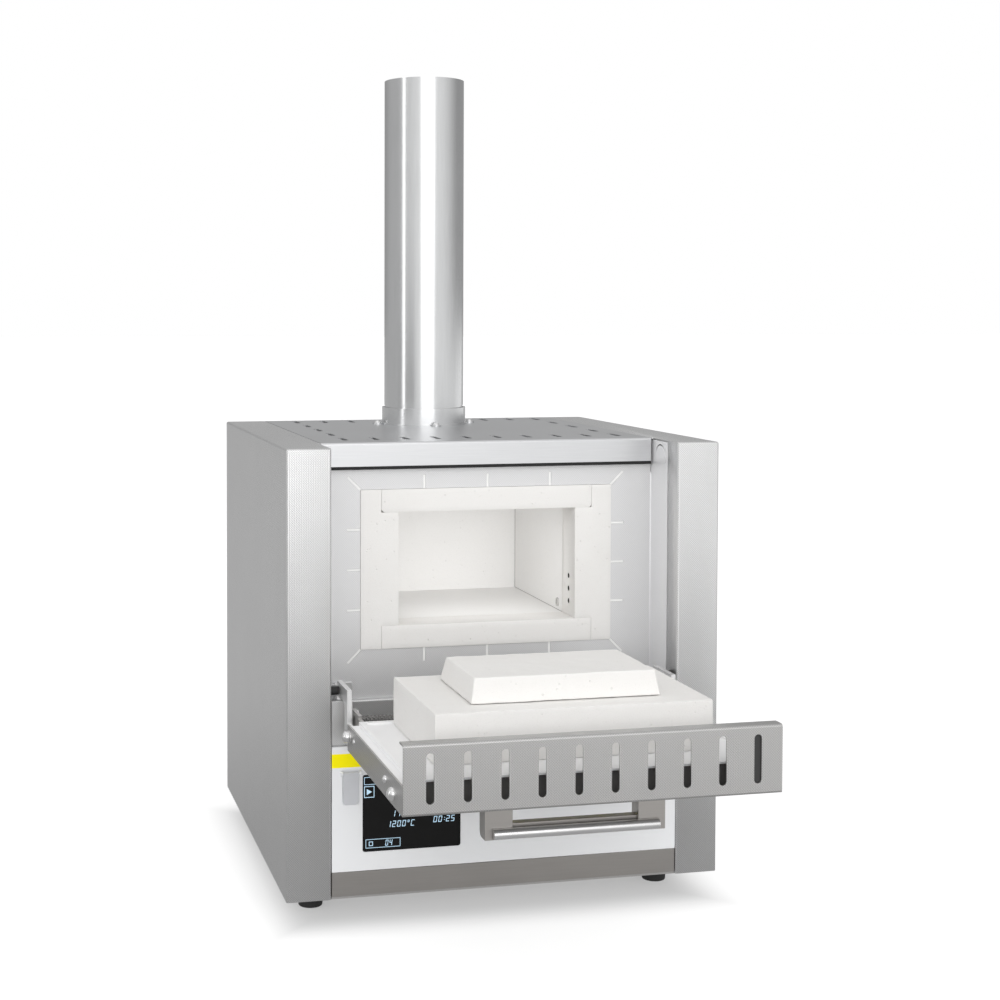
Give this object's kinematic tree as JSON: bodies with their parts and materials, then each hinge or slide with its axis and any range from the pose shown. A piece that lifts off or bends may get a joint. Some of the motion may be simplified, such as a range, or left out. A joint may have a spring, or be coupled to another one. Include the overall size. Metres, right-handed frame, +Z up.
{
  "type": "ashing furnace",
  "caption": "Bench ashing furnace with a fold-down insulated door, brick-lined chamber, touch display and a round exhaust stack.",
  "frame": {"origin": "on the bench, under the middle of the whole object with its door open, the middle being taken from its overall box", "axes": "+X to the object's right seen from its front, +Y from the front to the rear, +Z up"},
  "size_m": [0.385, 0.577, 0.75],
  "materials": {
    "embossed_steel": "stainless sheet with a fine embossed diagonal pattern",
    "cover_steel": "fine brushed stainless sheet",
    "inner_steel": "bright smooth stainless sheet",
    "plain_steel": "plain mill-finish steel sheet",
    "polished_steel": "polished steel",
    "stack_steel": "smooth bright stainless tube",
    "rail_steel": "grey-brown satin steel",
    "handle_steel": "satin grey-brown metal",
    "fascia_white": "pale powder coat",
    "accent_yellow": "smooth yellow film",
    "display_black": "black glossy display glass",
    "black_plastic": "black moulded plastic",
    "grey_plastic": "light grey moulded plastic",
    "brick_white": "fine porous insulating brick",
    "muffle_white": "smooth pressed fibre plate",
    "fibre_white": "soft fibre board",
    "rope_grey": "braided dark fibre rope",
    "rubber_black": "matt black rubber",
    "wire_dark": "oxidised heating alloy",
    "board_green": "coated circuit board with components",
    "sensor_ceramic": "glazed ceramic tube"
  },
  "bodies": {
    "furnace": {"base_plate": "plain_steel", "side_panel_left": "embossed_steel", "side_panel_right": "embossed_steel", "top_cover": "cover_steel", "rear_panel": "cover_steel", "front_plate": "embossed_steel", "recess_walls": "embossed_steel", "sill_sheet": "embossed_steel", "seal_rope": "rope_grey", "front_board": "fibre_white", "collar_lintel": "brick_white", "collar_sill": "brick_white", "collar_sides": "brick_white", "muffle_floor": "muffle_white", "muffle_roof": "muffle_white", "muffle_rear": "muffle_white", "heater_plates": "muffle_white", "heating_wires": "wire_dark", "insulation_sides": "fibre_white", "insulation_floor": "fibre_white", "insulation_roof": "fibre_white", "insulation_rear": "fibre_white", "chamber_support": "plain_steel", "exhaust_duct": "plain_steel", "stack_collar": "stack_steel", "stack_tube": "stack_steel", "stack_screws": "polished_steel", "air_tube": "sensor_ceramic", "temperature_sensor": "sensor_ceramic", "fascia": "fascia_white", "accent_strip": "accent_yellow", "display_glass": "display_black", "display_module": "black_plastic", "bottom_rail": "rail_steel", "port_socket": "black_plastic", "dial_encoder": "black_plastic", "control_board": "board_green", "cable_gland": "black_plastic", "switch_housing": "black_plastic", "hinge_brackets": "plain_steel", "hinge_pins": "polished_steel", "stop_buffers": "rubber_black", "feet": "rubber_black", "foot_screws": "polished_steel"},
    "door": {"door_tray": "embossed_steel", "door_liner": "inner_steel", "door_insulation": "fibre_white", "door_brick": "brick_white", "door_plug": "brick_white", "door_levers": "inner_steel", "hinge_arms": "plain_steel", "lever_bolts": "polished_steel", "door_screws": "polished_steel", "latch_plate": "black_plastic", "handle_bar": "polished_steel", "handle_frame": "handle_steel"},
    "flap": {"port_flap": "grey_plastic"},
    "dial_shaft": {"dial_spindle": "polished_steel"},
    "dial": {"dial_knob": "grey_plastic"},
    "rocker": {"switch_rocker": "black_plastic"}
  },
  "joints": [
    {"name": "door_hinge", "type": "hinge", "parent": "furnace", "child": "door", "pos_m": [0, -0.0591, 0.17545], "axis": [-1, 0, 0], "range_deg": [0, 90]},
    {"name": "flap_hinge", "type": "hinge", "parent": "furnace", "child": "flap", "pos_m": [-0.1376, -0.07415, 0.1315], "axis": [-1, 0, 0], "range_deg": [0, 100]},
    {"name": "dial_press", "type": "slide", "parent": "furnace", "child": "dial_shaft", "axis": [0, 1, 0], "range_m": [0, 0.0008], "stiffness_N_per_m": 1500},
    {"name": "dial_turn", "type": "hinge", "parent": "dial_shaft", "child": "dial", "pos_m": [0.006, -0.08355, 0.108], "axis": [0, -1, 0], "continuous": true},
    {"name": "switch_tilt", "type": "hinge", "parent": "furnace", "child": "rocker", "pos_m": [0.12, 0.27145, 0.062], "axis": [1, 0, 0], "range_deg": [0, 12]}
  ]
}
